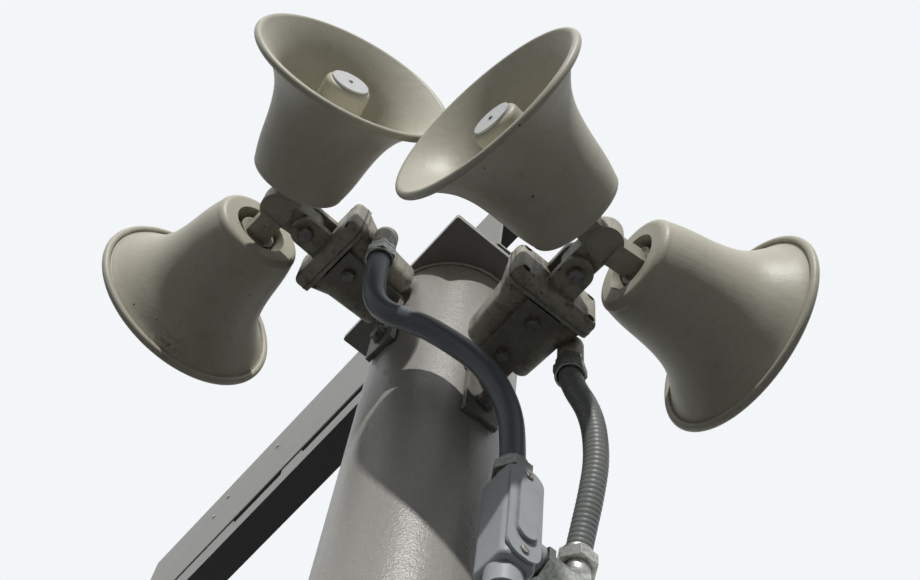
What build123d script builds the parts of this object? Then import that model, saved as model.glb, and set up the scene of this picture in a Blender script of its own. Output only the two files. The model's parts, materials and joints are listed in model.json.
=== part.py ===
from build123d import *
import math
import os

os.makedirs("parts", exist_ok=True)

# Pole, base and cap plate
POLE_OD = 168.3
POLE_R = POLE_OD / 2
POLE_WALL = 7.1
BASE_SIDE = 320.0
BASE_THICK = 20.0
ANCHOR_HOLE = 26.0
ANCHOR_PITCH = 240.0
POLE_TOP = 3120.0
CAP_X = 176.0
CAP_Y = 220.0
CAP_SHIFT = -6.0
CAP_THICK = 8.0
GUSSET_LEG = 70.0
GUSSET_RISE = 120.0
GUSSET_THICK = 10.0

# Top arm: strut channel, packing pieces and a tall channel that stands on its lower flange
ARM_X = 4.7
STRUT_WIDE = 41.3
STRUT_TALL = 31.0
STRUT_WALL = 2.6
STRUT_LIP = 9.5
LIP_DROP = 7.0
ARM_START = -100.0
ARM_END = 712.0
PACKER_TALL = 20.0
PACKER_LONG = 40.0
SHIM_TALL = 11.0
SHIM_Y = ((298.0, 341.0), (453.0, 600.0))
TALL_HIGH = 150.0
TALL_FLANGE = 50.0
TALL_WALL = 4.0
ARM_BOLT = 8.0
ARM_BOLT_Y = POLE_R - POLE_WALL - 12.0
FAR_BOLT_Y = ARM_END - 52.0

# Speaker pair, in its own frame: u away from the pole, v to the side, z up from the bracket
PLATE = 6.0
BRACKET_WIDE = 42.0
BRACKET_DROP = 95.0
FOOT_BOLT_Z = (-68.0, -28.0)
M8 = 8.0
M10 = 10.0
BOLT_PLAY = 0.5
AXIS_Z = 31.0
HOUSING_U0 = POLE_R + 13.85
HOUSING_LONG = 89.0
HOUSING_WALL = 4.0
HOUSING_HALF = 40.0
WAIST_LONG = 28.0
WAIST_HALF = 44.0
FLANGE = 5.0
FLANGE_WIDE = 106.0
FLANGE_LOW = -2.0
FLANGE_HIGH = 64.0
HOUSING_U1 = HOUSING_U0 + HOUSING_LONG
BRACKET_REACH = HOUSING_U1 - FLANGE - 3.0
SEAT_BOLT_U = (HOUSING_U0 + 15.0, BRACKET_REACH - 18.0)
HUB_U = HOUSING_U1 - 31.0
HUB_V = 55.0
HUB_R = 14.0
HUB_LOW = -10.0
HUB_HIGH = 28.0
TUBE_TOP = -28.0
COVER_DEEP = 15.5
COVER_ROUND = 8.0
COVER_U2 = HOUSING_U1 + COVER_DEEP
SCREW_V = 43.0
SCREW_Z = (7.0, 55.0)
SCREW_SUNK = 6.0
LUG_R = 18.0
LUG_REACH = 25.5
PIVOT_U = COVER_U2 + LUG_REACH
LUG_GAP = 25.0
LUG_THICK = 8.0
PIVOT_D = 10.0
PIVOT_PLAY = 0.3
STEM = 24.0
HORN_U = PIVOT_U + 42.0
HORN_V = 37.0
SPLAY = 6.8
ARM_SECTION = 27.0
DISC_R = 22.0
DISC_THICK = 14.0

# Horn bell, along its own axis: x from the back rim to the mouth
MOUTH_R = 118.0
BELL_LENGTH = 148.0
BELL_WALL = 4.0
BACK_R = 55.0
BACK_ROUND = 9.0
RECESS_R = 31.0
RECESS_DEEP = 20.0
FLOOR = 5.0
LIP_R = 4.6
LIP_ANGLE = 35.0
PLUG_R = 26.5
PLUG_END = BELL_LENGTH - 14.0
PLUG_WALL = 3.0
FACE_R = 21.5
FACE_THICK = 2.5

# Where the two speaker pairs stand on the pole, how far each is slid on its bracket and turned on
# its pivot, and how far the horns on its two sides are tipped up
LEFT = dict(name="left", az=182.4, z=3043.5, out=-10.4, yaw=-6.4, tip={1: -0.5, -1: 3.5})
RIGHT = dict(name="right", az=268.9, z=2890.0, out=2.5, yaw=3.1, tip={1: 4.8, -1: -2.4})

# Conduits, conduit body and riser
TUBE_OD = 25.0
TUBE_WALL = 3.0
RISER_OD = 26.7
RISER_WALL = 2.9
RISER_LOW = 160.0
STANDOFF = 23.5
STRAP_Z = (2350.0, 1650.0, 950.0, 300.0)
STRAP_HALF = 38.0
STRAP_SCREW = 28.0
BODY_X = 18.0
BODY_Y = -(POLE_R + STANDOFF + RISER_OD / 2)
BODY_WIDE = 37.0
BODY_DEEP = 44.0
BODY_LOW = 2528.0
BODY_HIGH = 2662.0
ELBOW_X = BODY_X + 79.0
ELBOW_Z = BODY_LOW + 52.0
ELBOW_TOP = ELBOW_Z + 30.0
LEFT_BENDS = (28.0, 70.0, 60.0, 40.0)
RIGHT_BENDS = (70.0, 90.0, 50.0)


def cyl(r, z0, z1, x=0.0, y=0.0):
    return Pos(x, y, (z0 + z1) / 2) * Cylinder(r, z1 - z0)


def bar(x0, x1, y0, y1, z0, z1):
    return Pos((x0 + x1) / 2, (y0 + y1) / 2, (z0 + z1) / 2) * Box(x1 - x0, y1 - y0, z1 - z0)


def hexagon(across, z0, z1, x=0.0, y=0.0):
    sketch = RegularPolygon(across / math.sqrt(3), 6)
    return Pos(x, y, z0) * extrude(sketch, z1 - z0)


def save(shape, name):
    export_step(shape, "parts/" + name + ".step")


def along_u(shape):
    """Turn a piece made along z so that it runs along u."""
    return Rot(0, 90, 0) * shape


def stand(side, shape):
    """Carry a piece from a bracket's frame to the pole."""
    return Pos(0, 0, side["z"]) * Rot(0, 0, side["az"]) * shape


def seat(side, shape):
    """Carry a piece of a speaker pair to its place on the bracket."""
    return stand(side, Pos(side["out"], 0, 0) * shape)


def swing(side, shape):
    """Turn a piece of the yoke or a horn about the pivot bolt, then carry it to the pole."""
    turned = Pos(PIVOT_U, 0, 0) * Rot(0, 0, side["yaw"]) * Pos(-PIVOT_U, 0, 0) * shape
    return seat(side, turned)


def section(u, half_v, z0, z1, r):
    plane = Plane(origin=(u, 0, (z0 + z1) / 2), x_dir=(0, 1, 0), z_dir=(1, 0, 0))
    return plane * RectangleRounded(2 * half_v, z1 - z0, r)


def pole_parts():
    r = POLE_R
    half = ANCHOR_PITCH / 2
    plate = extrude(RectangleRounded(BASE_SIDE, BASE_SIDE, 18), BASE_THICK)
    for sx in (-1, 1):
        for sy in (-1, 1):
            plate -= cyl(ANCHOR_HOLE / 2, -1, BASE_THICK + 1, sx * half, sy * half)
    save(plate, "base_plate")

    tube = cyl(r, BASE_THICK, POLE_TOP) - cyl(r - POLE_WALL, BASE_THICK - 1, POLE_TOP + 1)
    for side in (LEFT, RIGHT):
        for z in FOOT_BOLT_Z:
            hole = Pos(r - 10, 0, z) * along_u(Cylinder(M10 / 2 + BOLT_PLAY, 40))
            tube -= stand(side, hole)
    for z in STRAP_Z:
        for dx in (-1, 1):
            tube -= Pos(BODY_X + dx * STRAP_SCREW, -r + 10, z) * Rot(90, 0, 0) * Cylinder(3, 50)
    save(tube, "pole_tube")

    profile = Polyline((r, BASE_THICK), (r + GUSSET_LEG, BASE_THICK), (r + GUSSET_LEG, BASE_THICK + 15),
                       (r + 12, BASE_THICK + GUSSET_RISE), (r, BASE_THICK + GUSSET_RISE), close=True)
    rib = extrude(Plane.XZ * make_face(profile), GUSSET_THICK / 2, both=True)
    save(Compound([Rot(0, 0, a) * rib for a in (0, 90, 180, 270)]), "base_gussets")

    cap = Pos(0, CAP_SHIFT, POLE_TOP) * extrude(RectangleRounded(CAP_X, CAP_Y, 3), CAP_THICK)
    for y in (-ARM_BOLT_Y, ARM_BOLT_Y):
        cap -= cyl(ARM_BOLT / 2 + BOLT_PLAY, POLE_TOP - 1, POLE_TOP + CAP_THICK + 1, ARM_X, y)
    save(cap, "cap_plate")


def along_arm(outline):
    """A profile in x and z, given as corner points, run along the arm."""
    start = Plane(origin=(0, ARM_START, 0), x_dir=(1, 0, 0), z_dir=(0, -1, 0))
    face = start * make_face(Polyline(*outline, close=True))
    return extrude(face, -(ARM_END - ARM_START))


def arm_parts():
    z0 = POLE_TOP + CAP_THICK
    w = STRUT_WIDE / 2
    t = STRUT_WALL
    z1 = z0 + STRUT_TALL
    lip = w - STRUT_LIP
    drop = z1 - LIP_DROP
    right = [(w, z0), (w, z1), (lip, z1), (lip, drop), (lip + t, drop), (lip + t, z1 - t),
             (w - t, z1 - t), (w - t, z0 + t)]
    half = [(ARM_X + x, z) for x, z in right]
    mirrored = [(ARM_X - x, z) for x, z in reversed(right)]
    strut = along_arm(half + mirrored)
    for y in (-ARM_BOLT_Y, ARM_BOLT_Y):
        strut -= cyl(ARM_BOLT / 2 + BOLT_PLAY, z0 - 1, z0 + t + 1, ARM_X, y)
    save(strut, "arm_strut")

    z2 = z1 + PACKER_TALL
    face_x = ARM_X - w
    flange_t = z2 + TALL_WALL
    top = z2 + TALL_HIGH
    tip = face_x + TALL_FLANGE
    web = face_x + TALL_WALL
    tall = along_arm([(face_x, z2), (tip, z2), (tip, flange_t), (web, flange_t), (web, top - TALL_WALL),
                      (tip, top - TALL_WALL), (tip, top), (face_x, top)])
    corners = tall.edges().filter_by(Axis.Y).filter_by(lambda e: abs((e @ 0).X - face_x) < 0.01)
    tall = fillet(corners, TALL_WALL * 0.6)

    packers = []
    hold_y = (-ARM_BOLT_Y, ARM_BOLT_Y, FAR_BOLT_Y)
    for y in hold_y:
        packer = bar(face_x + 1, ARM_X + w, y - PACKER_LONG / 2, y + PACKER_LONG / 2, z1, z2)
        packers.append(packer - cyl(ARM_BOLT / 2 + BOLT_PLAY, z1 - 1, z2 + 1, ARM_X, y))
        tall -= cyl(ARM_BOLT / 2 + BOLT_PLAY, z2 - 1, z2 + TALL_WALL + 1, ARM_X, y)
    for y0, y1 in SHIM_Y:
        packers.append(bar(face_x, ARM_X + w, y0, y1, z1, z1 + SHIM_TALL))
    save(tall, "arm_tall_channel")
    save(Compound(packers), "arm_packers")

    bolts = []
    for y in (-ARM_BOLT_Y, ARM_BOLT_Y):
        bolt = cyl(ARM_BOLT / 2, POLE_TOP - 12, z0 + t + 5, ARM_X, y)
        bolt += hexagon(13, z0 + t, z0 + t + 5, ARM_X, y)
        bolt += cyl(8, POLE_TOP - 2, POLE_TOP, ARM_X, y)
        bolt += hexagon(13, POLE_TOP - 9, POLE_TOP - 2, ARM_X, y)
        bolts.append(bolt)
    for y in hold_y:
        nut_z = drop - 6
        bolt = cyl(ARM_BOLT / 2, nut_z - 4, z2 + TALL_WALL + 5, ARM_X, y)
        bolt += hexagon(13, z2 + TALL_WALL, z2 + TALL_WALL + 5.5, ARM_X, y)
        bolt += bar(ARM_X - w + t + 1, ARM_X + w - t - 1, y - 10, y + 10, nut_z, drop)
        bolts.append(bolt)
    save(Compound(bolts), "arm_bolts")


def bracket(side):
    r = POLE_R
    w = BRACKET_WIDE / 2
    reach = BRACKET_REACH + side["out"]
    outline = Polyline((r, -BRACKET_DROP), (r, PLATE), (reach, PLATE), (reach, 0),
                       (r + PLATE, 0), (r + PLATE, -BRACKET_DROP), close=True)
    plate = extrude(Plane.XZ * make_face(outline), w, both=True)
    inner = plate.edges().filter_by(Axis.Y).sort_by_distance((r + PLATE, 0, 0))[0]
    plate = fillet(inner, 4)
    outer = plate.edges().filter_by(Axis.Y).sort_by_distance((r, 0, PLATE))[0]
    plate = fillet(outer, 11)
    for u in SEAT_BOLT_U:
        plate -= cyl(M8 / 2 + BOLT_PLAY, -1, PLATE + 1, u + side["out"], 0)
    for z in FOOT_BOLT_Z:
        plate -= Pos(r, 0, z) * along_u(Cylinder(M10 / 2 + BOLT_PLAY, 30))
    save(stand(side, plate), side["name"] + "_bracket")

    bolts = []
    for z in FOOT_BOLT_Z:
        bolt = cyl(M10 / 2, r - POLE_WALL - 12, r + PLATE + 9)
        bolt += cyl(10.5, r + PLATE, r + PLATE + 2)
        bolt += hexagon(16, r + PLATE + 2, r + PLATE + 9)
        bolts.append(Pos(0, 0, z) * along_u(bolt))
    for u in SEAT_BOLT_U:
        at = u + side["out"]
        bolt = cyl(M8 / 2, -7, PLATE + HOUSING_WALL + 3, at, 0)
        bolt += cyl(8, -1.5, 0, at, 0)
        bolt += hexagon(13, -7, -1.5, at, 0)
        bolts.append(bolt)
    save(stand(side, Compound(bolts)), side["name"] + "_bracket_bolts")


def housing(side):
    u1 = HOUSING_U1 - FLANGE
    waist = HOUSING_U1 - WAIST_LONG
    t = HOUSING_WALL
    half = FLANGE_WIDE / 2
    back = section(HOUSING_U0, HOUSING_HALF, PLATE, 50, 13)
    middle = section(waist, WAIST_HALF, PLATE, 55, 13)
    body = loft([back, middle])
    body = fillet(body.faces().sort_by(Axis.X)[0].edges(), 8)
    body += loft([middle, section(u1, half - 1, PLATE, FLANGE_HIGH - 1, 12)])
    body += extrude(section(u1, half, FLANGE_LOW, FLANGE_HIGH, 9), FLANGE)
    hub = extrude(Circle(HUB_R), HUB_HIGH - HUB_LOW)
    hub = fillet(hub.edges().group_by(Axis.Z)[-1], 6)
    body += Pos(HUB_U, HUB_V, HUB_LOW) * hub
    hollow_mid = section(waist, WAIST_HALF - t, PLATE + t, 55 - t, 9)
    body -= loft([section(HOUSING_U0 + t + 2, HOUSING_HALF - t, PLATE + t, 50 - t, 9), hollow_mid])
    body -= loft([hollow_mid, section(HOUSING_U1, WAIST_HALF - t, PLATE + t, 55 - t, 9)])
    body -= cyl(8, HUB_LOW - 1, HUB_HIGH - t - 6, HUB_U, HUB_V)
    for u in SEAT_BOLT_U:
        body -= cyl(M8 / 2 + BOLT_PLAY, PLATE - 1, PLATE + t + 1, u, 0)
    for v in (-SCREW_V, SCREW_V):
        for z in SCREW_Z:
            body -= Pos(HOUSING_U1, v, z) * along_u(Cylinder(2.5, 24))
    save(seat(side, body), side["name"] + "_housing")

    cover = extrude(section(HOUSING_U1, half, FLANGE_LOW, FLANGE_HIGH, 9), COVER_DEEP)
    cover = fillet(cover.faces().sort_by(Axis.X)[-1].edges(), COVER_ROUND)
    lug = Pos(PIVOT_U, 0, 0) * Cylinder(LUG_R, LUG_THICK)
    lug += bar(COVER_U2 - 2, PIVOT_U, -LUG_R, LUG_R, -LUG_THICK / 2, LUG_THICK / 2)
    for s in (-1, 1):
        cover += Pos(0, 0, AXIS_Z + s * (LUG_GAP + LUG_THICK) / 2) * lug
    cover -= extrude(section(HOUSING_U1, 36, PLATE + t + 3, 48, 9), COVER_DEEP - 6)
    cover -= cyl(PIVOT_D / 2 + PIVOT_PLAY, -20, 80, PIVOT_U, 0)
    screws = []
    for v in (-SCREW_V, SCREW_V):
        for z in SCREW_Z:
            cover -= Pos(COVER_U2, v, z) * along_u(Cylinder(2.5, 2 * COVER_DEEP + 2))
            cover -= Pos(COVER_U2, v, z) * along_u(Cylinder(5, 2 * SCREW_SUNK))
            screw = cyl(2.5, HOUSING_U1 - 10, COVER_U2 - SCREW_SUNK + 3)
            screw += cyl(4.5, COVER_U2 - SCREW_SUNK, COVER_U2 - SCREW_SUNK + 3)
            screws.append(Pos(0, v, z) * along_u(screw))
    save(seat(side, cover), side["name"] + "_housing_cover")
    save(seat(side, Compound(screws)), side["name"] + "_cover_screws")


def yoke(side):
    stem = Pos(PIVOT_U, 0, AXIS_Z) * Cylinder(16, STEM)
    stem += bar(PIVOT_U, HORN_U, -16, 16, AXIS_Z - STEM / 2, AXIS_Z + STEM / 2)
    half = ARM_SECTION / 2
    for s in (-1, 1):
        arm = bar(-26, RECESS_DEEP - DISC_THICK, -half, half, -half, half)
        arm += along_u(cyl(DISC_R, RECESS_DEEP - DISC_THICK, RECESS_DEEP))
        stem += horn_place(side, s, arm)
    stem += Pos(HORN_U, 0, AXIS_Z) * Cylinder(19, ARM_SECTION)
    stem -= cyl(PIVOT_D / 2 + PIVOT_PLAY, 0, 70, PIVOT_U, 0)
    save(swing(side, stem), side["name"] + "_yoke")

    low = AXIS_Z - LUG_GAP / 2 - LUG_THICK
    high = AXIS_Z + LUG_GAP / 2 + LUG_THICK
    bolt = cyl(PIVOT_D / 2, low - 7, high + 11, PIVOT_U, 0)
    bolt += hexagon(16, low - 7, low, PIVOT_U, 0) + hexagon(16, high, high + 8, PIVOT_U, 0)
    save(seat(side, bolt), side["name"] + "_pivot_bolt")


def horn_place(side, s, shape):
    """Set a piece made along a horn's own axis on the side s of the pair."""
    aimed = Rot(0, 0, s * (90 - SPLAY)) * Rot(0, -side["tip"][s], 0) * shape
    return Pos(HORN_U, s * HORN_V, AXIS_Z) * aimed


# Outer curve of the bell: share of its length from the back, and share of the mouth's radius
BELL_CURVE = ((0.203, 0.507), (0.372, 0.536), (0.514, 0.567), (0.655, 0.620), (0.757, 0.688),
              (0.851, 0.782), (0.953, 0.910))


def bell_outline(inset):
    """Outer curve of the bell, or the same curve moved inward by the wall."""
    rows = []
    for along, out in BELL_CURVE:
        forward = inset * 0.5 if along > 0.7 else 0
        rows.append((along * BELL_LENGTH + forward, out * MOUTH_R - inset))
    return rows


def horn_parts(side, s, name):
    outer = [(BACK_ROUND, BACK_R)] + bell_outline(0)
    inner = bell_outline(BELL_WALL)
    floor_x = RECESS_DEEP + FLOOR
    throat = (floor_x, inner[0][1] - 1.2)
    bead = (BELL_LENGTH - LIP_R, MOUTH_R - LIP_R)
    angle = math.radians(LIP_ANGLE)
    front = (bead[0] + LIP_R * math.cos(angle), bead[1] - LIP_R * math.sin(angle))
    with BuildPart() as bell:
        with BuildSketch(Plane.XY):
            with BuildLine():
                Spline(*outer, tangents=((1, 0.3), (0.7, 1)))
                Line(outer[-1], bead)
                Line(bead, front)
                Spline(front, *reversed([throat] + inner[:-1]),
                       tangents=((-math.sin(angle), -math.cos(angle)), (-1, -0.1)))
                Line(throat, (floor_x, 0))
                Line((floor_x, 0), (RECESS_DEEP, 0))
                Line((RECESS_DEEP, 0), (RECESS_DEEP, RECESS_R - 3))
                Line((RECESS_DEEP, RECESS_R - 3), (0, RECESS_R + 2))
                Line((0, RECESS_R + 2), (0, BACK_R - BACK_ROUND))
                RadiusArc((0, BACK_R - BACK_ROUND), outer[0], BACK_ROUND)
            make_face()
        revolve(axis=Axis.X)
    lip = revolve(Plane.XY * Pos(*bead) * Circle(LIP_R), axis=Axis.X)
    save(swing(side, horn_place(side, s, bell.part + lip)), name + "_bell")

    t = PLUG_WALL
    x0 = floor_x
    with BuildPart() as plug:
        with BuildSketch(Plane.XY):
            with BuildLine():
                Polyline((x0, PLUG_R + 3), (PLUG_END - 6, PLUG_R))
                TangentArc((PLUG_END - 6, PLUG_R), (PLUG_END, PLUG_R - 5), tangent=(1, 0))
                Polyline((PLUG_END, PLUG_R - 5), (PLUG_END, 0), (PLUG_END - t, 0), (PLUG_END - t, PLUG_R - 8),
                         (x0, PLUG_R + 3 - t), (x0, PLUG_R + 3))
            make_face()
        revolve(axis=Axis.X)
    save(swing(side, horn_place(side, s, plug.part)), name + "_plug")

    face = Pos(PLUG_END + FACE_THICK / 2, 0, 0) * along_u(Cylinder(FACE_R, FACE_THICK))
    save(swing(side, horn_place(side, s, face)), name + "_plug_disc")


def connector(side):
    z = HUB_LOW
    body = hexagon(27, z - 7, z, HUB_U, HUB_V) + cyl(12.5, z - 13, z - 7, HUB_U, HUB_V)
    body += hexagon(31, z - 26, z - 13, HUB_U, HUB_V) + cyl(15.5, z - 30, z - 26, HUB_U, HUB_V)
    body += cyl(8, z, z + 14, HUB_U, HUB_V)
    body -= cyl(6, z - 40, z + 20, HUB_U, HUB_V)
    body -= cyl(TUBE_OD / 2 + 1.2, z - 40, TUBE_TOP, HUB_U, HUB_V)
    save(seat(side, body), side["name"] + "_cable_connector")


def hub_point(side, z):
    a = math.radians(side["az"])
    u = HUB_U + side["out"]
    x = u * math.cos(a) - HUB_V * math.sin(a)
    y = u * math.sin(a) + HUB_V * math.cos(a)
    return (x, y, side["z"] + z)


def tube(points, radii):
    """Tube along straight runs joined by tangent arcs."""
    path = FilletPolyline(*points, radius=radii)
    start = Plane(origin=path @ 0, z_dir=path % 0)
    ring = start * (Circle(TUBE_OD / 2) - Circle(TUBE_OD / 2 - TUBE_WALL))
    return sweep(ring, path=path)


def conduits():
    x, y, z = hub_point(LEFT, TUBE_TOP)
    path = [(x, y, z), (x, y, z - 80), (-58.5, -POLE_R - 20.35, BODY_HIGH + 226),
            (BODY_X - 20, BODY_Y - 13, BODY_HIGH + 96), (BODY_X, BODY_Y, BODY_HIGH + 46),
            (BODY_X, BODY_Y, BODY_HIGH + 12)]
    save(tube(path, LEFT_BENDS), "left_flexible_conduit")

    x, y, z = hub_point(RIGHT, TUBE_TOP)
    path = [(x, y, z), (x, y, z - 24), (BODY_X + 64, BODY_Y - 51, BODY_HIGH + 62),
            (ELBOW_X, BODY_Y, BODY_HIGH - 10), (ELBOW_X, BODY_Y, ELBOW_TOP + 12)]
    save(tube(path, RIGHT_BENDS), "right_flexible_conduit")


def conduit_nut(x, z):
    """Hex nut and ring on the lower end of a conduit."""
    nut = hexagon(35, z, z + 14, x, BODY_Y) + cyl(16, z + 14, z + 20, x, BODY_Y)
    nut -= cyl(TUBE_OD / 2, z + 12 if x == ELBOW_X else z + 4, z + 24, x, BODY_Y)
    nut -= cyl(9, z - 1, z + 24, x, BODY_Y)
    return nut


def conduit_body():
    w = BODY_WIDE / 2
    d = BODY_DEEP / 2
    body = extrude(RectangleRounded(BODY_WIDE, BODY_DEEP, 8), BODY_HIGH - BODY_LOW)
    body = Pos(BODY_X, BODY_Y, BODY_LOW) * body
    body = fillet(body.faces().sort_by(Axis.Z)[-1].edges(), 6)
    body = fillet(body.faces().sort_by(Axis.Z)[0].edges(), 6)
    body += cyl(15, BODY_HIGH - 2, BODY_HIGH + 8, BODY_X, BODY_Y)
    body += cyl(17, BODY_LOW - 22, BODY_LOW + 2, BODY_X, BODY_Y)
    body += Pos(BODY_X + w + 6, BODY_Y, ELBOW_Z) * along_u(Cylinder(15, 16))
    body -= cyl(13, BODY_LOW + 5, BODY_HIGH - 6, BODY_X, BODY_Y)
    body -= cyl(RISER_OD / 2, BODY_LOW - 30, BODY_LOW, BODY_X, BODY_Y)
    body -= cyl(9, BODY_LOW - 1, BODY_HIGH + 12, BODY_X, BODY_Y)
    body -= Pos(BODY_X + w + 5, BODY_Y, ELBOW_Z) * along_u(Cylinder(9, 22))
    save(body, "conduit_body")

    front = BODY_Y - d
    lid = Plane(origin=(BODY_X, front, (BODY_LOW + BODY_HIGH) / 2), x_dir=(1, 0, 0), z_dir=(0, -1, 0))
    cover = lid * extrude(RectangleRounded(BODY_WIDE - 1, BODY_HIGH - BODY_LOW - 6, 15), 3)
    cover += lid * Pos(0, 0, 3) * extrude(SlotOverall(82, 20, rotation=90), 4)
    save(cover, "conduit_body_cover")

    nuts = [conduit_nut(BODY_X, BODY_HIGH + 8), conduit_nut(ELBOW_X, ELBOW_TOP)]
    save(Compound(nuts), "conduit_nuts")

    x1 = BODY_X + w + 14
    bend = (ELBOW_X, BODY_Y, ELBOW_Z)
    path = FilletPolyline((x1, BODY_Y, ELBOW_Z), bend, (ELBOW_X, BODY_Y, ELBOW_TOP), radius=20)
    elbow = sweep(Plane(origin=path @ 0, z_dir=path % 0) * (Circle(13) - Circle(9)), path=path)
    collar = extrude(RegularPolygon(17.5, 6), 7) - Pos(0, 0, 3) * Cylinder(9, 20)
    elbow += Pos(x1 + 3, BODY_Y, ELBOW_Z) * along_u(collar)
    save(elbow, "right_conduit_elbow")

    pipe = cyl(RISER_OD / 2, RISER_LOW, BODY_LOW, BODY_X, BODY_Y)
    pipe -= cyl(RISER_OD / 2 - RISER_WALL, 0, BODY_LOW + 10, BODY_X, BODY_Y)
    save(pipe, "riser_pipe")

    straps = []
    pads = []
    back = BODY_Y + RISER_OD / 2
    for z in STRAP_Z:
        pad = bar(BODY_X - STRAP_HALF, BODY_X + STRAP_HALF, back, -POLE_R * 0.7, z - 12, z + 12)
        pads.append(pad - cyl(POLE_R, z - 20, z + 20))
        outer = RISER_OD / 2 + 3
        inner = RISER_OD / 2
        ring = cyl(outer, z - 10, z + 10, BODY_X, BODY_Y)
        ring += bar(BODY_X - outer, BODY_X + outer, BODY_Y, back, z - 10, z + 10)
        ring += bar(BODY_X - STRAP_HALF, BODY_X + STRAP_HALF, back - 3, back, z - 10, z + 10)
        ring -= cyl(inner, z - 20, z + 20, BODY_X, BODY_Y)
        ring -= bar(BODY_X - inner, BODY_X + inner, BODY_Y, back + 9, z - 20, z + 20)
        ring -= bar(BODY_X - 60, BODY_X + 60, back, back + 20, z - 20, z + 20)
        for dx in (-1, 1):
            head = Rot(90, 0, 0) * extrude(RegularPolygon(6.5, 6), 6)
            ring += Pos(BODY_X + dx * STRAP_SCREW, back - 2, z) * head
        straps.append(ring)
    save(Compound(straps), "riser_straps")
    save(Compound(pads), "riser_standoffs")


pole_parts()
arm_parts()
for side in (LEFT, RIGHT):
    bracket(side)
    housing(side)
    yoke(side)
    connector(side)
horn_parts(LEFT, 1, "upper_left_horn")
horn_parts(LEFT, -1, "lower_left_horn")
horn_parts(RIGHT, -1, "upper_right_horn")
horn_parts(RIGHT, 1, "lower_right_horn")
conduits()
conduit_body()
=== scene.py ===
import json
import math

import bmesh
import bpy
from mathutils import Matrix, Vector, noise

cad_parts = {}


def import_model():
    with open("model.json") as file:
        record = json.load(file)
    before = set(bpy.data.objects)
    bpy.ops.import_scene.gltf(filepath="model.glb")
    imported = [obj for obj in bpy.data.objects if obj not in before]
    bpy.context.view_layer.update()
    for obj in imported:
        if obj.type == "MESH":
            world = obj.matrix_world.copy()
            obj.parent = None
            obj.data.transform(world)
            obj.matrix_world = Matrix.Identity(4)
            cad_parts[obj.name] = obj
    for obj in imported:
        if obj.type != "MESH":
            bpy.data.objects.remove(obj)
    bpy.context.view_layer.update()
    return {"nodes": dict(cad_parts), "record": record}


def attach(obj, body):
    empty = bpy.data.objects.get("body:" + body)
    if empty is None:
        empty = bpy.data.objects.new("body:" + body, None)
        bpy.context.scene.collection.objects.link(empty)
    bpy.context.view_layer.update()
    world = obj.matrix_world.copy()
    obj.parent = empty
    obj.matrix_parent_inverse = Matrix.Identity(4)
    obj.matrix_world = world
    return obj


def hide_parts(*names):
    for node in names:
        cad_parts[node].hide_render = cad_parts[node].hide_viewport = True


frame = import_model()
nodes = frame["nodes"]

# Camera: where it stands beside the pole, and which way it looks
EYE = Vector((-0.4100, -0.6876, 1.600))
LOOK_AZIMUTH = math.radians(59.06)
LOOK_UP = math.radians(63.75)
ROLL = math.radians(10.22)
LENS = 55.36
NEAREST_SEEN = 0.05

# Key light: compass angle round the pole, height above the horizon, strength, width of its disc
KEY_AZIMUTH = math.radians(236)
KEY_HEIGHT = math.radians(38)
KEY_STRENGTH = 2.5
KEY_SOFTNESS = math.radians(1.3)
KEY_COLOUR = (1.0, 0.985, 0.96)

# Background as it is seen, and the strength of its scattered light from below and from above
PALE = (0.90, 0.92, 0.94, 1)
FILL_LOW = 0.08
FILL_HIGH = 0.28

# Floor: half its width, its colour as it is seen, and its colour for scattered light
FLOOR_HALF = 90.0
FLOOR_SEEN = (0.80, 0.80, 0.79, 1)
FLOOR_LIT = (0.05, 0.05, 0.05, 1)

# Flexible conduits: distance between ribs, outer radius, depth of the grooves between ribs, and
# the run of points that each one's middle line follows, from the housing down
RING_PITCH = 0.0052
CONDUIT_R = 0.0125
LEFT_GROOVE = 0.00005
RIGHT_GROOVE = 0.0004
LEFT_ROUTE = [
    (-0.14317, -0.06105, 3.0155), (-0.14317, -0.06105, 2.972), (-0.1356, -0.0580, 2.9240),
    (-0.1195, -0.0650, 2.9010), (-0.0965, -0.0845, 2.8865), (-0.0655, -0.1030, 2.8620),
    (-0.0280, -0.1245, 2.8220), (0.0037, -0.1299, 2.7680), (0.0180, -0.1210, 2.708),
    (0.0180, -0.1210, 2.674)]
RIGHT_ROUTE = [
    (0.05195, -0.15953, 2.862), (0.05195, -0.15953, 2.838), (0.0703, -0.1710, 2.7846),
    (0.0834, -0.1645, 2.7305), (0.0891, -0.1497, 2.6882), (0.0948, -0.1296, 2.6453),
    (0.0970, -0.1210, 2.622)]

# Cover gaskets: each pair's compass angle round the pole, shift outwards and base height
PAIR_PLACES = (("left", 182.4, -0.0104, 3.0435), ("right", 268.9, 0.0025, 2.890))
# Height of the cover's middle above the pair's base, and the middle and radius of its corners
COVER_MIDDLE = 0.031
COVER_CORNER = (0.044, 0.024)
COVER_CORNER_R = 0.009
# Cross-section of a gasket: distance from the pole's axis before the shift, and how far past the
# cover's edge
GASKET_SECTION = ((0.1859, -0.0015), (0.1859, 0.0003), (0.1881, 0.0003), (0.1881, -0.0015))

# Turned rings, as (along, radius) rows: a thread turn, with the number of turns, their pitch and
# their start above the connector's foot; a connector's rolled rim; the weld bead under the cap,
# with the height and number of its ripples
THREAD_ROWS = [(-0.0007, 0.0122), (-0.0002, 0.0132), (0.0002, 0.0132), (0.0007, 0.0122)]
THREAD_TURNS = 4
THREAD_PITCH = 0.0014
THREAD_START = 0.0178
RIM_ROWS = [
    (0.0006, 0.0150), (-0.0002, 0.0153), (-0.0002, 0.0159), (0.0007, 0.0161), (0.0015, 0.0155)]
WELD_ROWS = [
    (0.0002, 0.0838), (-0.0036, 0.0838), (-0.0031, 0.0853), (-0.0016, 0.0869), (0.0002, 0.0877)]
WELD_RIPPLE = 0.0009
WELD_WAVES = 26

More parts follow.
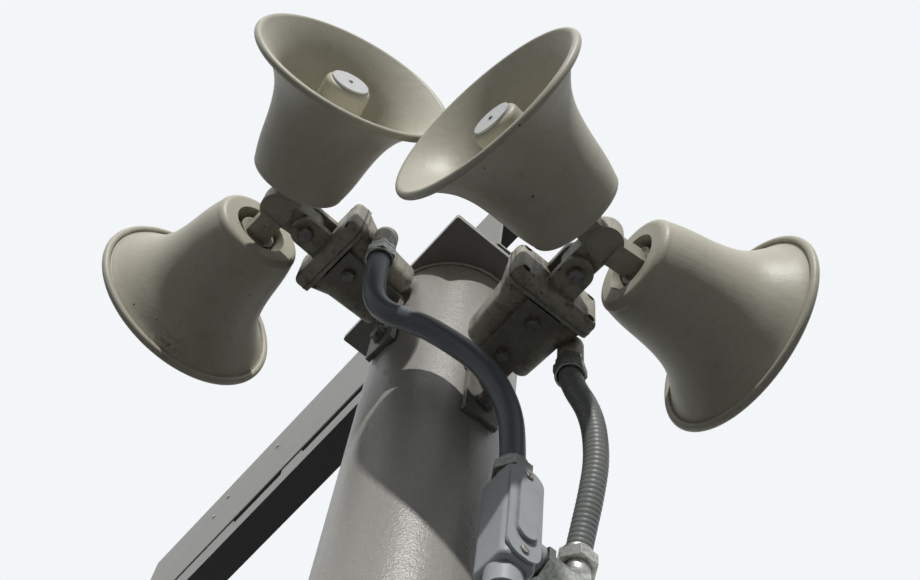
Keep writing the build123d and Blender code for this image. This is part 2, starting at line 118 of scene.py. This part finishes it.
# Screws: radius and rise of each head
PLUG_SCREW = (0.0024, 0.0012)
ARM_SCREW = (0.0032, 0.0020)
COVER_SCREW = (0.0042, 0.0022)
# How far a plug's screw stands from the middle of its disc, which is half the disc's thickness
DISC_FACE = 0.00125
# Where the arm's screws sit on its web, along the arm and in height
ARM_SCREW_SPOTS = ((0.388, 3.285), (0.540, 3.270), (0.512, 3.291))
# Conduit cover: flange behind its raised part, distance of the screws from its ends, their
# slots' width, and how far the upper and the lower slot are turned
COVER_FLANGE = 0.004
COVER_SCREW_INSET = 0.010
SLOT = 0.0011
SLOT_TURNS = (0.6, 1.9)
# How far a screw's head starts inside what it sits on
HEAD_FOOT = 0.0004

# Where dirt has gathered on the lower left horn's lip, and how far it reaches
LIP_SMUDGE = (-0.262, 0.177, 2.978)
SMUDGE_REACH = 0.030

# Where the elbow's nut starts, which is cleaner than the other fittings, and over what length
CLEAN_FROM = 0.067
CLEAN_OVER = 0.012


# Node tree helpers

def feed(tree, socket, value):
    """Link a socket to another, or set its value."""
    if isinstance(value, bpy.types.NodeSocket):
        tree.links.new(value, socket)
    else:
        socket.default_value = value


def node(tree, kind, attributes=None, **inputs):
    """Add a shader node; input names have underscores for spaces."""
    made = tree.nodes.new("ShaderNode" + kind)
    for key, value in (attributes or {}).items():
        setattr(made, key, value)
    for key, value in inputs.items():
        feed(tree, made.inputs[key.replace("_", " ")], value)
    return made


def calc(tree, operation, a, b):
    """Sum, product or larger one of two values."""
    made = node(tree, "Math", {"operation": operation})
    feed(tree, made.inputs[0], a)
    feed(tree, made.inputs[1], b)
    return made.outputs[0]


def blend(tree, factor, a, b):
    """Mix two colours."""
    made = node(tree, "Mix", {"data_type": "RGBA", "blend_type": "MIX"})
    feed(tree, made.inputs[0], factor)
    feed(tree, made.inputs[6], a)
    feed(tree, made.inputs[7], b)
    return made.outputs[2]


def spread(tree, value, low, high, to_low=0.0, to_high=1.0):
    """Map a range of a value onto another, held at both ends."""
    made = node(tree, "MapRange", {"clamp": True}, Value=value)
    limits = (("From Min", low), ("From Max", high), ("To Min", to_low), ("To Max", to_high))
    for name, limit in limits:
        feed(tree, made.inputs[name], limit)
    return made.outputs[0]


def straight_view(tree):
    """1 for what the camera, a gloss or a glass sees, and 0 for scattered light."""
    path = node(tree, "LightPath").outputs
    seen = calc(tree, "MAXIMUM", path["Is Camera Ray"], path["Is Glossy Ray"])
    return calc(tree, "MAXIMUM", seen, path["Is Transmission Ray"])


class Finish:
    """A material whose coat is built up in layers over one base colour."""

    CORNER = 0.0006    # radius of the softened edges

    def __init__(self, name, base, rough, metallic=0.0, spec=0.5):
        self.material = bpy.data.materials.new(name)
        self.material.use_nodes = True
        self.tree = self.material.node_tree
        self.shader = self.tree.nodes["Principled BSDF"]
        self.place = node(self.tree, "TexCoord").outputs["Object"]
        self.colour = (*base, 1.0)
        self.rough = rough
        self.height = None
        self.shader.inputs["Metallic"].default_value = metallic
        self.shader.inputs["Specular IOR Level"].default_value = spec

    # Values that vary over the piece

    def grain(self, scale, detail=3, rough=0.55, place=None):
        """Noise, with `scale` lumps to the metre."""
        made = node(self.tree, "TexNoise", None, Vector=self.place if place is None else place,
                    Scale=scale, Detail=detail, Roughness=rough)
        return made.outputs["Fac"]

    def streaks(self, x, y, z, detail=4, rough=0.55):
        """Noise with its own number of lumps to the metre on each axis."""
        drawn = node(self.tree, "Mapping", {"vector_type": "POINT"},
                     Vector=self.place, Scale=(x, y, z))
        return self.grain(1, detail, rough, drawn.outputs[0])

    def cells(self, scale):
        """Distance from the nearest of many scattered points, and a colour for each."""
        return node(self.tree, "TexVoronoi", {"feature": "F1"},
                    Vector=self.place, Scale=scale).outputs

    def mask(self, value, low, high, least=0.0, most=1.0):
        """Turn a range of a value into a mask from `least` to `most`."""
        return spread(self.tree, value, low, high, least, most)

    def both(self, a, b):
        """Mask that is high where two others are."""
        return calc(self.tree, "MULTIPLY", a, b)

    def edge(self, radius):
        """Mask that is high along outward and inward edges."""
        soft = node(self.tree, "Bevel", {"samples": 4}, Radius=radius).outputs[0]
        true = node(self.tree, "NewGeometry").outputs["Normal"]
        made = node(self.tree, "VectorMath", {"operation": "DOT_PRODUCT"})
        feed(self.tree, made.inputs[0], soft)
        feed(self.tree, made.inputs[1], true)
        return self.mask(made.outputs["Value"], 0.99, 0.80)

    def crevice(self, reach):
        """Mask that is high where surfaces meet in a corner."""
        made = node(self.tree, "AmbientOcclusion", {"samples": 6}, Distance=reach)
        return self.mask(made.outputs["AO"], 0.85, 0.35)

    def facing(self, low, high):
        """Mask by the upward share of the surface's direction."""
        normal = node(self.tree, "NewGeometry").outputs["Normal"]
        split = node(self.tree, "SeparateXYZ", None, Vector=normal)
        return self.mask(split.outputs["Z"], low, high)

    def near(self, spot, reach):
        """Mask that fades with the distance from one spot."""
        made = node(self.tree, "VectorMath", {"operation": "DISTANCE"})
        feed(self.tree, made.inputs[0], self.place)
        feed(self.tree, made.inputs[1], spot)
        return self.mask(made.outputs["Value"], reach, reach * 0.2)

    # Layers

    def layer(self, mask, tint, rough=None):
        """Lay a tint over the colour where the mask is high."""
        self.colour = blend(self.tree, mask, self.colour, (*tint, 1.0))
        if rough is not None:
            made = node(self.tree, "Mix", {"data_type": "FLOAT"})
            feed(self.tree, made.inputs[0], mask)
            feed(self.tree, made.inputs[2], self.rough)
            feed(self.tree, made.inputs[3], rough)
            self.rough = made.outputs[0]

    def painted_corner_shade(self, reach, amount, tint, rough):
        """Painted shade: colour darkened evenly in the corners, where ambient occlusion is high.
        """
        self.layer(self.both(self.crevice(reach), amount), tint, rough)

    def grime_and_corner_shade(self, reach, patches, tint, rough):
        """Colour darkened in the corners, where ambient occlusion is high, broken into patches:
        partly dirt, partly painted shade.
        """
        self.layer(self.both(self.crevice(reach), patches), tint, rough)

    def worn_edges(self, radius, patches, tint):
        """Edges that are rubbed bright in patches."""
        self.layer(self.both(self.edge(radius), patches), tint)

    def painted_underside_shade(self, amount, tint):
        """Painted shade: colour darkened on the faces that look at the ground."""
        self.layer(self.both(self.facing(-0.8, -0.95), amount), tint, 0.6)

    def raise_by(self, value, distance):
        """Add a bump of this real height."""
        scaled = calc(self.tree, "MULTIPLY", value, distance)
        if self.height is not None:
            scaled = calc(self.tree, "ADD", self.height, scaled)
        self.height = scaled

    def done(self):
        """Join the layers to the shader."""
        feed(self.tree, self.shader.inputs["Base Color"], self.colour)
        feed(self.tree, self.shader.inputs["Roughness"], self.rough)
        soft = node(self.tree, "Bevel", {"samples": 4}, Radius=self.CORNER).outputs[0]
        bump = node(self.tree, "Bump", None, Strength=1.0, Distance=1.0,
                    Height=self.height, Normal=soft)
        feed(self.tree, self.shader.inputs["Normal"], bump.outputs[0])
        return self.material


# Finishes. Each line lays a layer on those before it, so their order counts.

def horn_paint():
    f = Finish("horn_paint", (0.592, 0.570, 0.470), 0.44, spec=0.30)
    clouds = f.mask(f.grain(11, 4), 0.35, 0.75, 0, 0.40)
    f.layer(clouds, (0.525, 0.500, 0.400))
    chalk = f.mask(f.grain(240, 3, 0.6), 0.45, 0.7, 0, 0.30)
    f.layer(chalk, (0.660, 0.643, 0.555))
    runs = f.mask(f.streaks(70, 70, 6, 4, 0.6), 0.56, 0.74, 0, 0.35)
    f.layer(runs, (0.365, 0.345, 0.265), 0.55)
    lines = f.streaks(12, 12, 520, 3, 0.6)
    f.layer(f.mask(lines, 0.5, 0.75, 0, 0.25), (0.455, 0.443, 0.362))
    dust = f.both(f.facing(0.1, 0.8), f.mask(f.grain(45, 4), 0.3, 0.7, 0.1, 0.4))
    f.layer(dust, (0.64, 0.632, 0.56), 0.6)
    # Darker in the corners, in patches: grime and painted shade.
    f.grime_and_corner_shade(0.022, f.mask(f.grain(38, 4), 0.36, 0.58, 0.25, 1.0), (0.12, 0.11, 0.085), 0.7)
    # Painted shade in the corners.
    f.painted_corner_shade(0.005, 0.75, (0.085, 0.08, 0.065), 0.7)
    f.worn_edges(0.0012, f.mask(f.grain(320), 0.4, 0.62, 0, 0.6), (0.69, 0.68, 0.60))
    sparse = f.mask(f.grain(13, 2), 0.52, 0.56)
    dots = f.both(f.mask(f.cells(42)["Distance"], 0.065, 0.040), sparse)
    f.layer(dots, (0.11, 0.09, 0.06), 0.7)
    broken = f.mask(f.grain(160, 5, 0.7), 0.46, 0.66, 0, 0.8)
    f.layer(f.both(f.near(LIP_SMUDGE, SMUDGE_REACH), broken), (0.07, 0.062, 0.05), 0.8)
    f.raise_by(f.grain(620, 2), 0.00010)
    f.raise_by(f.grain(85, 2), 0.00030)
    f.raise_by(lines, 0.00006)
    return f.done()


def housing_paint(name, dirt):
    """Old paint on a casting; `dirt` is how much of the stains it has."""
    f = Finish(name, (0.45, 0.436, 0.368), 0.44, spec=0.28)
    clouds = f.mask(f.grain(26, 5), 0.38, 0.62, 0, 0.8 * dirt)
    f.layer(clouds, (0.29, 0.277, 0.230))
    chalk = f.mask(f.grain(420, 3, 0.6), 0.5, 0.7, 0, 0.4)
    f.layer(chalk, (0.60, 0.57, 0.48))
    runs = f.mask(f.streaks(90, 90, 14, 4, 0.65), 0.50, 0.66, 0, 0.65 * dirt)
    f.layer(runs, (0.13, 0.118, 0.095), 0.65)
    blots = f.mask(f.grain(75, 5, 0.7), 0.59, 0.69, 0, 0.8 * dirt)
    f.layer(blots, (0.10, 0.08, 0.055), 0.75)
    # Darker in the corners, in patches: grime and painted shade.
    f.grime_and_corner_shade(0.014, f.mask(f.grain(90, 4), 0.34, 0.56, 0.4, 1.0), (0.06, 0.05, 0.035), 0.8)
    f.worn_edges(0.0016, f.mask(f.grain(260), 0.34, 0.52, 0, 0.95), (0.76, 0.735, 0.65))
    patches = f.mask(f.grain(42), 0.54, 0.60)
    pits = f.both(f.mask(f.cells(120)["Distance"], 0.20, 0.10), patches)
    f.layer(pits, (0.085, 0.055, 0.03), 0.85)
    f.raise_by(f.grain(800, 2), 0.00012)
    f.raise_by(f.grain(130), 0.00045)
    f.raise_by(pits, -0.0004)
    return f.done()


def pole_paint():
    f = Finish("pole_paint", (0.355, 0.343, 0.318), 0.31, spec=0.45)
    clouds = f.mask(f.grain(9, 4), 0.35, 0.7, 0, 0.4)
    f.layer(clouds, (0.37, 0.355, 0.32))
    chalk = f.mask(f.grain(190, 4, 0.65), 0.5, 0.72, 0, 0.4)
    f.layer(chalk, (0.42, 0.40, 0.355), 0.40)
    runs = f.mask(f.streaks(75, 75, 3, 4, 0.6), 0.55, 0.75, 0, 0.3)
    f.layer(runs, (0.23, 0.22, 0.20), 0.5)
    specks = f.grain(700, 2, 0.6)
    f.layer(f.mask(specks, 0.56, 0.70, 0, 0.55), (0.50, 0.485, 0.44), 0.26)
    f.layer(f.mask(specks, 0.42, 0.30, 0, 0.45), (0.21, 0.20, 0.175), 0.5)
    # Painted shade in the corners.
    f.painted_corner_shade(0.012, 0.8, (0.05, 0.045, 0.035), 0.7)
    f.worn_edges(0.0012, f.mask(f.grain(300), 0.42, 0.6, 0, 0.6), (0.48, 0.46, 0.42))
    # Painted shade on the downward faces, such as under the cap plate.
    f.painted_underside_shade(0.75, (0.075, 0.075, 0.075))
    f.raise_by(specks, 0.00030)
    f.raise_by(f.grain(330, 2), 0.00040)
    f.raise_by(f.grain(60, 2), 0.00050)
    return f.done()


def arm_paint():
    f = Finish("arm_paint", (0.40, 0.397, 0.38), 0.44, spec=0.22)
    streaks = f.mask(f.streaks(30, 6, 30), 0.35, 0.7, 0, 0.45)
    f.layer(streaks, (0.33, 0.327, 0.31))
    chalk = f.mask(f.grain(300, 3, 0.6), 0.48, 0.7, 0, 0.3)
    f.layer(chalk, (0.46, 0.457, 0.44))
    # Painted shade on the arm's downward faces.
    f.painted_underside_shade(0.85, (0.045, 0.045, 0.05))
    # Painted shade in the corners.
    f.painted_corner_shade(0.012, 0.85, (0.05, 0.045, 0.04), 0.7)
    f.worn_edges(0.0010, f.mask(f.grain(200), 0.42, 0.6, 0, 0.6), (0.62, 0.615, 0.59))
    f.raise_by(f.grain(600, 2), 0.00010)
    f.raise_by(f.grain(40, 2), 0.00035)
    return f.done()


def bracket_steel():
    f = Finish("bracket_steel", (0.235, 0.228, 0.200), 0.42, spec=0.25)
    clouds = f.mask(f.grain(55, 5), 0.4, 0.66, 0, 0.7)
    f.layer(clouds, (0.135, 0.125, 0.105))
    # Painted shade in the corners.
    f.painted_corner_shade(0.008, 0.85, (0.04, 0.035, 0.03), 0.8)
    f.worn_edges(0.0012, f.mask(f.grain(260), 0.33, 0.53, 0, 0.9), (0.62, 0.60, 0.53))
    f.raise_by(f.grain(700, 2), 0.00012)
    f.raise_by(f.grain(90, 2), 0.00030)
    return f.done()


def zinc(name, base, stain, rough, metallic=0.85, clean_from=None):
    """Plated steel; past x = `clean_from` it is brighter, where that is given."""
    f = Finish(name, base, rough, metallic)
    if clean_from is not None:
        split = node(f.tree, "SeparateXYZ", None, Vector=f.place)
        clean = f.mask(split.outputs["X"], clean_from, clean_from + CLEAN_OVER)
        f.layer(clean, (0.60, 0.605, 0.57), 0.34)
    f.layer(f.mask(f.grain(210, 4), 0.42, 0.66, 0, 0.7), stain, rough + 0.2)
    flakes = node(f.tree, "RGBToBW", None, Color=f.cells(260)["Color"]).outputs[0]
    f.layer(f.mask(flakes, 0.2, 0.9, 0, 0.14), (0.75, 0.77, 0.76))
    # Painted shade in the corners.
    f.painted_corner_shade(0.006, 0.85, (0.05, 0.045, 0.035), 0.8)
    f.raise_by(f.grain(900, 2), 0.00010)
    return f.done()


def conduit_jacket(name, base, faded, dusty):
    f = Finish(name, base, 0.38, spec=0.28)
    f.layer(f.mask(f.grain(30, 4), 0.35, 0.7, 0, 0.5), faded, 0.44)
    f.layer(f.mask(f.grain(400), 0.5, 0.75, 0, 0.3), dusty, 0.5)
    # Painted shade in the corners.
    f.painted_corner_shade(0.003, 0.5, (0.05, 0.05, 0.05), 0.6)
    f.raise_by(f.grain(1100, 2), 0.00005)
    f.raise_by(f.grain(120, 2), 0.00020)
    return f.done()


def body_grey():
    f = Finish("body_grey", (0.46, 0.49, 0.52), 0.42, spec=0.35)
    clouds = f.mask(f.grain(45, 4), 0.35, 0.7, 0, 0.4)
    f.layer(clouds, (0.35, 0.37, 0.39))
    # Painted shade in the corners.
    f.painted_corner_shade(0.006, 0.8, (0.07, 0.07, 0.07), 0.7)
    f.worn_edges(0.0012, f.mask(f.grain(300), 0.4, 0.6, 0, 0.7), (0.60, 0.62, 0.63))
    f.raise_by(f.grain(650), 0.00022)
    return f.done()


def disc_white():
    f = Finish("disc_white", (0.72, 0.735, 0.745), 0.42)
    clouds = f.mask(f.grain(80, 4), 0.45, 0.70, 0, 0.4)
    f.layer(clouds, (0.58, 0.59, 0.59), 0.5)
    spots = f.mask(f.grain(330), 0.60, 0.68, 0, 0.5)
    f.layer(spots, (0.32, 0.31, 0.28), 0.6)
    # Painted shade in the corners.
    f.painted_corner_shade(0.004, 0.9, (0.06, 0.055, 0.05), 0.7)
    f.raise_by(f.grain(500, 2), 0.00006)
    return f.done()


finishes = {
    "horn_paint": horn_paint(),
    "housing_paint": housing_paint("housing_paint", 1.0),
    "yoke_paint": housing_paint("yoke_paint", 0.35),
    "pole_paint": pole_paint(),
    "arm_paint": arm_paint(),
    "bracket_steel": bracket_steel(),
    "bolt_zinc": zinc("bolt_zinc", (0.42, 0.41, 0.38), (0.24, 0.19, 0.13), 0.42),
    "bolt_dirty": zinc(
        "bolt_dirty", (0.055, 0.050, 0.045), (0.035, 0.026, 0.020), 0.5, 0.25),
    # The left conduit's jacket is the pale jacket made darker: painted shade.
    "jacket": conduit_jacket(
        "conduit_jacket", (0.118, 0.136, 0.158), (0.150, 0.168, 0.186), (0.21, 0.222, 0.23)),
    "pale_jacket": conduit_jacket(
        "pale_jacket", (0.215, 0.228, 0.225), (0.26, 0.27, 0.26), (0.33, 0.335, 0.32)),
    "body_grey": body_grey(),
    "connector_zinc": zinc(
        "connector_zinc", (0.235, 0.255, 0.240), (0.15, 0.155, 0.13), 0.38,
        clean_from=CLEAN_FROM),
    "disc_white": disc_white(),
    "pipe_zinc": zinc("pipe_zinc", (0.48, 0.49, 0.49), (0.36, 0.37, 0.37), 0.40),
}

for row in frame["record"]["subparts"]:
    is_yoke = row["node"].endswith("_yoke")
    mesh = nodes[row["node"]].data
    mesh.materials.clear()
    mesh.materials.append(finishes["yoke_paint" if is_yoke else row["material_slot"]])


# Measures of the CAD nodes

def corners(name):
    """Lowest and highest corner of a CAD node."""
    holder = nodes[name]
    points = [holder.matrix_world @ vertex.co for vertex in holder.data.vertices]
    low = Vector(min(p[i] for p in points) for i in range(3))
    high = Vector(max(p[i] for p in points) for i in range(3))
    return low, high


def centre(name):
    """Middle of a CAD node's box."""
    low, high = corners(name)
    return (low + high) / 2


# Mesh tools

def close_faces(mesh, loops):
    """Join each closed loop of vertices to the next; equal vertices are left out of a face."""
    count = len(loops[0])
    for low, high in zip(loops, loops[1:]):
        for k in range(count):
            n = (k + 1) % count
            corner = list(dict.fromkeys((low[k], low[n], high[n], high[k])))
            if len(corner) > 2:
                mesh.faces.new(corner).smooth = True


def spin(mesh, rows, origin, ahead, count=32, ring=False, ripple=0.0, waves=0):
    """Turn a profile of (along, radius) rows about an axis; a ring's profile meets itself."""
    ahead = ahead.normalized()
    across = ahead.orthogonal().normalized()
    other = ahead.cross(across)
    loops = []
    for along_axis, radius in rows:
        base = origin + ahead * along_axis
        if radius == 0:
            loops.append([mesh.verts.new(base)] * count)
            continue
        loop = []
        for k in range(count):
            a = 2 * math.pi * k / count
            way = across * math.cos(a) + other * math.sin(a)
            spot = Vector((math.cos(a) * waves, math.sin(a) * waves, along_axis * 200))
            swell = ripple * noise.noise(spot)
            loop.append(mesh.verts.new(base + way * (radius + swell)))
        loops.append(loop)
    if ring:
        loops.append(loops[0])
    close_faces(mesh, loops)


def dome(radius, rise):
    """Profile of a low round head, with its foot just inside what it sits on."""
    return [
        (-HEAD_FOOT, 0), (-HEAD_FOOT, radius), (rise * 0.45, radius), (rise * 0.8, radius * 0.86),
        (rise, radius * 0.55), (rise * 1.05, 0)]


def slotted_head(mesh, origin, ahead, radius, rise, turn):
    """Round screw head with a slot: a low disc with two half discs on it."""
    low_disc = [(-HEAD_FOOT, 0), (-HEAD_FOOT, radius), (rise * 0.45, radius), (rise * 0.45, 0)]
    spin(mesh, low_disc, origin, ahead)
    ahead = ahead.normalized()
    side = ahead.orthogonal().normalized()
    along_slot = side * math.cos(turn) + ahead.cross(side) * math.sin(turn)
    across = ahead.cross(along_slot)
    start = math.asin(SLOT / 2 / radius)
    steps = 14
    for half in (-1, 1):
        loops = []
        for height, share in ((rise * 0.44, 1.0), (rise * 0.85, 1.0), (rise, 0.9)):
            loop = []
            for k in range(steps + 1):
                a = start + (math.pi - 2 * start) * k / steps
                flat = (along_slot * (radius * share * math.cos(a))
                        + across * (half * radius * share * math.sin(a)))
                loop.append(mesh.verts.new(origin + flat + ahead * height))
            loops.append(loop)
        close_faces(mesh, loops)
        mesh.faces.new(loops[-1])
        mesh.faces.new(loops[0])


def route(points):
    """Places along a smooth curve that a run of points draws."""
    curve = bpy.data.curves.new("route", "CURVE")
    curve.dimensions = "3D"
    spline = curve.splines.new("NURBS")
    spline.points.add(len(points) - 1)
    for made, point in zip(spline.points, points):
        made.co = (*point, 1)
    spline.order_u = 3
    spline.use_endpoint_u = True
    spline.resolution_u = 24
    holder = bpy.data.objects.new("route", curve)
    bpy.context.scene.collection.objects.link(holder)
    line = bpy.data.meshes.new_from_object(holder)
    places = [v.co.copy() for v in line.vertices]
    bpy.data.objects.remove(holder)
    bpy.data.meshes.remove(line)
    bpy.data.curves.remove(curve)
    return places


def along(places, distance):
    """Place and direction at a distance along a line of places."""
    for a, b in zip(places, places[1:]):
        step = (b - a).length
        if distance <= step and step > 0:
            return a.lerp(b, distance / step), (b - a).normalized()
        distance -= step
    return places[-1].copy(), (places[-1] - places[-2]).normalized()


def ringed_tube(mesh, points, groove, sides=28, per_ring=6):
    """Conduit whose jacket swells and narrows with the ribs under it."""
    places = route(points)
    length = sum((b - a).length for a, b in zip(places, places[1:]))
    count = int(length / RING_PITCH) * per_ring
    _, heading = along(places, 0)
    across = heading.orthogonal().normalized()
    rings = []
    for i in range(count + 1):
        place, ahead = along(places, length * i / count)
        across = (across - ahead * across.dot(ahead)).normalized()
        other = ahead.cross(across)
        phase = 2 * math.pi * i / per_ring
        r = CONDUIT_R - groove * (0.5 - 0.5 * math.cos(phase)) ** 2
        ring = []
        for k in range(sides):
            a = 2 * math.pi * k / sides
            spot = place + across * (r * math.cos(a)) + other * (r * math.sin(a))
            ring.append(mesh.verts.new(spot))
        rings.append(ring)
    close_faces(mesh, rings)
    mesh.faces.new(list(reversed(rings[0])))
    mesh.faces.new(rings[-1])


# Pieces added in mesh code

def piece(name, mesh, body, slot, replaces=(), finish=None):
    """Make an object of a mesh under construction and hand it to the frame."""
    bmesh.ops.recalc_face_normals(mesh, faces=mesh.faces)
    data = bpy.data.meshes.new(name)
    mesh.to_mesh(data)
    mesh.free()
    made = bpy.data.objects.new(name, data)
    bpy.context.scene.collection.objects.link(made)
    data.materials.append(finishes[finish or slot])
    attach(made, body)
    if replaces:
        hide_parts(*replaces)


def conduits():
    """The two flexible conduits, each in place of the plain one."""
    for pair, points, groove, finish in (
            # The left conduit takes the darker jacket, which is painted shade.
            ("left", LEFT_ROUTE, LEFT_GROOVE, "jacket"),
            ("right", RIGHT_ROUTE, RIGHT_GROOVE, "pale_jacket")):
        mesh = bmesh.new()
        ringed_tube(mesh, points, groove)
        piece(pair + "_ringed_conduit", mesh, "mast", "jacket",
              [pair + "_flexible_conduit"], finish)


def plug_screws():
    """A small dark screw in the middle of each plug's disc."""
    for pair in ("left", "right"):
        mesh = bmesh.new()
        for level in ("upper", "lower"):
            horn = level + "_" + pair + "_horn"
            middle = centre(horn + "_plug_disc")
            ahead = (middle - centre(horn + "_plug")).normalized()
            spin(mesh, dome(*PLUG_SCREW), middle + ahead * DISC_FACE, ahead, 20)
        piece(pair + "_plug_screws", mesh, pair + "_speakers", "bolt_dirty")


def connector_threads():
    """Thread turns between the two hexagons of each cable connector, and its rolled lower rim."""
    up = Vector((0, 0, 1))
    for pair in ("left", "right"):
        low, high = corners(pair + "_cable_connector")
        middle = (low + high) / 2
        mesh = bmesh.new()
        for turn in range(THREAD_TURNS):
            z = low.z + THREAD_START + turn * THREAD_PITCH
            spin(mesh, THREAD_ROWS, Vector((middle.x, middle.y, z)), up, 40, True)
        spin(mesh, RIM_ROWS, Vector((middle.x, middle.y, low.z)), up, 48, True)
        piece(pair + "_connector_threads", mesh, "mast", "connector_zinc")


def cap_weld():
    """Weld bead under the cap plate, all round the pole."""
    low, _ = corners("cap_plate")
    mesh = bmesh.new()
    spin(mesh, WELD_ROWS, Vector((0, 0, low.z)), Vector((0, 0, 1)), 420, True,
         WELD_RIPPLE, WELD_WAVES)
    piece("cap_weld", mesh, "mast", "pole_paint")


def arm_screws():
    """Small screw heads on the tall channel's web."""
    low, _ = corners("arm_tall_channel")
    mesh = bmesh.new()
    for y, z in ARM_SCREW_SPOTS:
        spin(mesh, dome(*ARM_SCREW), Vector((low.x, y, z)), Vector((-1, 0, 0)), 24)
    piece("arm_web_screws", mesh, "mast", "bolt_zinc")


def gaskets():
    """Dark gasket between each housing and its cover, standing just proud of the joint."""
    corner_v, corner_z = COVER_CORNER
    outline = []
    for sign_v, sign_z, start in ((1, 1, 0), (-1, 1, 90), (-1, -1, 180), (1, -1, 270)):
        for step in range(7):
            b = math.radians(start + 15 * step)
            outline.append((sign_v * corner_v, sign_z * corner_z, math.cos(b), math.sin(b)))
    for pair, turn, shift, base in PAIR_PLACES:
        a = math.radians(turn)
        out = Vector((math.cos(a), math.sin(a), 0))
        side = Vector((-math.sin(a), math.cos(a), 0))
        mesh = bmesh.new()
        loops = []
        for u, proud in GASKET_SECTION:
            r = COVER_CORNER_R + proud
            loop = []
            for v, z, turn_v, turn_z in outline:
                place = out * (u + shift) + side * (v + turn_v * r)
                height = Vector((0, 0, base + COVER_MIDDLE + z + turn_z * r))
                loop.append(mesh.verts.new(place + height))
            loops.append(loop)
        close_faces(mesh, loops + [loops[0]])
        piece(pair + "_cover_gasket", mesh, "mast", "bolt_dirty")


def cover_screws():
    """Slotted screws at both ends of the conduit body's cover."""
    low, high = corners("conduit_body_cover")
    middle = (low + high) / 2
    heights = (high.z - COVER_SCREW_INSET, low.z + COVER_SCREW_INSET)
    mesh = bmesh.new()
    for z, turn in zip(heights, SLOT_TURNS):
        spot = Vector((middle.x, low.y + COVER_FLANGE, z))
        slotted_head(mesh, spot, Vector((0, -1, 0)), *COVER_SCREW, turn)
    piece("conduit_cover_screws", mesh, "mast", "bolt_zinc")


conduits()
plug_screws()
connector_threads()
cap_weld()
arm_screws()
gaskets()
cover_screws()


# Floor, light and camera

def floor():
    """Pale floor that takes the shadows and throws little light back up."""
    h = FLOOR_HALF
    mesh = bpy.data.meshes.new("floor")
    mesh.from_pydata([(-h, -h, 0), (h, -h, 0), (h, h, 0), (-h, h, 0)], [], [(0, 1, 2, 3)])
    made = bpy.data.objects.new("floor", mesh)
    bpy.context.scene.collection.objects.link(made)
    material = bpy.data.materials.new("floor_pale")
    material.use_nodes = True
    t = material.node_tree
    shader = t.nodes["Principled BSDF"]
    shader.inputs["Roughness"].default_value = 0.9
    feed(t, shader.inputs["Base Color"], blend(t, straight_view(t), FLOOR_LIT, FLOOR_SEEN))
    mesh.materials.append(material)


def world():
    """Plain pale background, whose scattered light is weaker and comes mostly from above."""
    made = bpy.data.worlds.new("studio")
    bpy.context.scene.world = made
    made.use_nodes = True
    t = made.node_tree
    back = t.nodes["Background"]
    feed(t, back.inputs["Color"], PALE)
    way = node(t, "SeparateXYZ", None, Vector=node(t, "TexCoord").outputs["Generated"])
    fill = spread(t, way.outputs["Z"], -0.4, 0.5, FILL_LOW, FILL_HIGH)
    feed(t, back.inputs["Strength"], calc(t, "MAXIMUM", straight_view(t), fill))


def direction(azimuth, height):
    """Unit vector at a compass angle and a height above the horizon."""
    flat = math.cos(height)
    return Vector((math.cos(azimuth) * flat, math.sin(azimuth) * flat, math.sin(height)))


def key_light():
    light = bpy.data.lights.new("key", "SUN")
    light.energy = KEY_STRENGTH
    light.angle = KEY_SOFTNESS
    light.color = KEY_COLOUR
    made = bpy.data.objects.new("key", light)
    bpy.context.scene.collection.objects.link(made)
    made.rotation_mode = "QUATERNION"
    made.rotation_quaternion = direction(KEY_AZIMUTH, KEY_HEIGHT).to_track_quat("Z", "Y")


def camera():
    ahead = direction(LOOK_AZIMUTH, LOOK_UP)
    side = Vector((math.sin(LOOK_AZIMUTH), -math.cos(LOOK_AZIMUTH), 0))
    up = side.cross(ahead)
    right = side * math.cos(ROLL) + up * math.sin(ROLL)
    top = up * math.cos(ROLL) - side * math.sin(ROLL)
    data = bpy.data.cameras.new("camera")
    data.lens = LENS
    data.clip_start = NEAREST_SEEN
    made = bpy.data.objects.new("camera", data)
    bpy.context.scene.collection.objects.link(made)
    made.matrix_world = Matrix((
        (right.x, top.x, -ahead.x, EYE.x),
        (right.y, top.y, -ahead.y, EYE.y),
        (right.z, top.z, -ahead.z, EYE.z),
        (0, 0, 0, 1)))
    bpy.context.scene.camera = made


floor()
world()
key_light()
camera()
bpy.context.scene.view_settings.view_transform = "Standard"
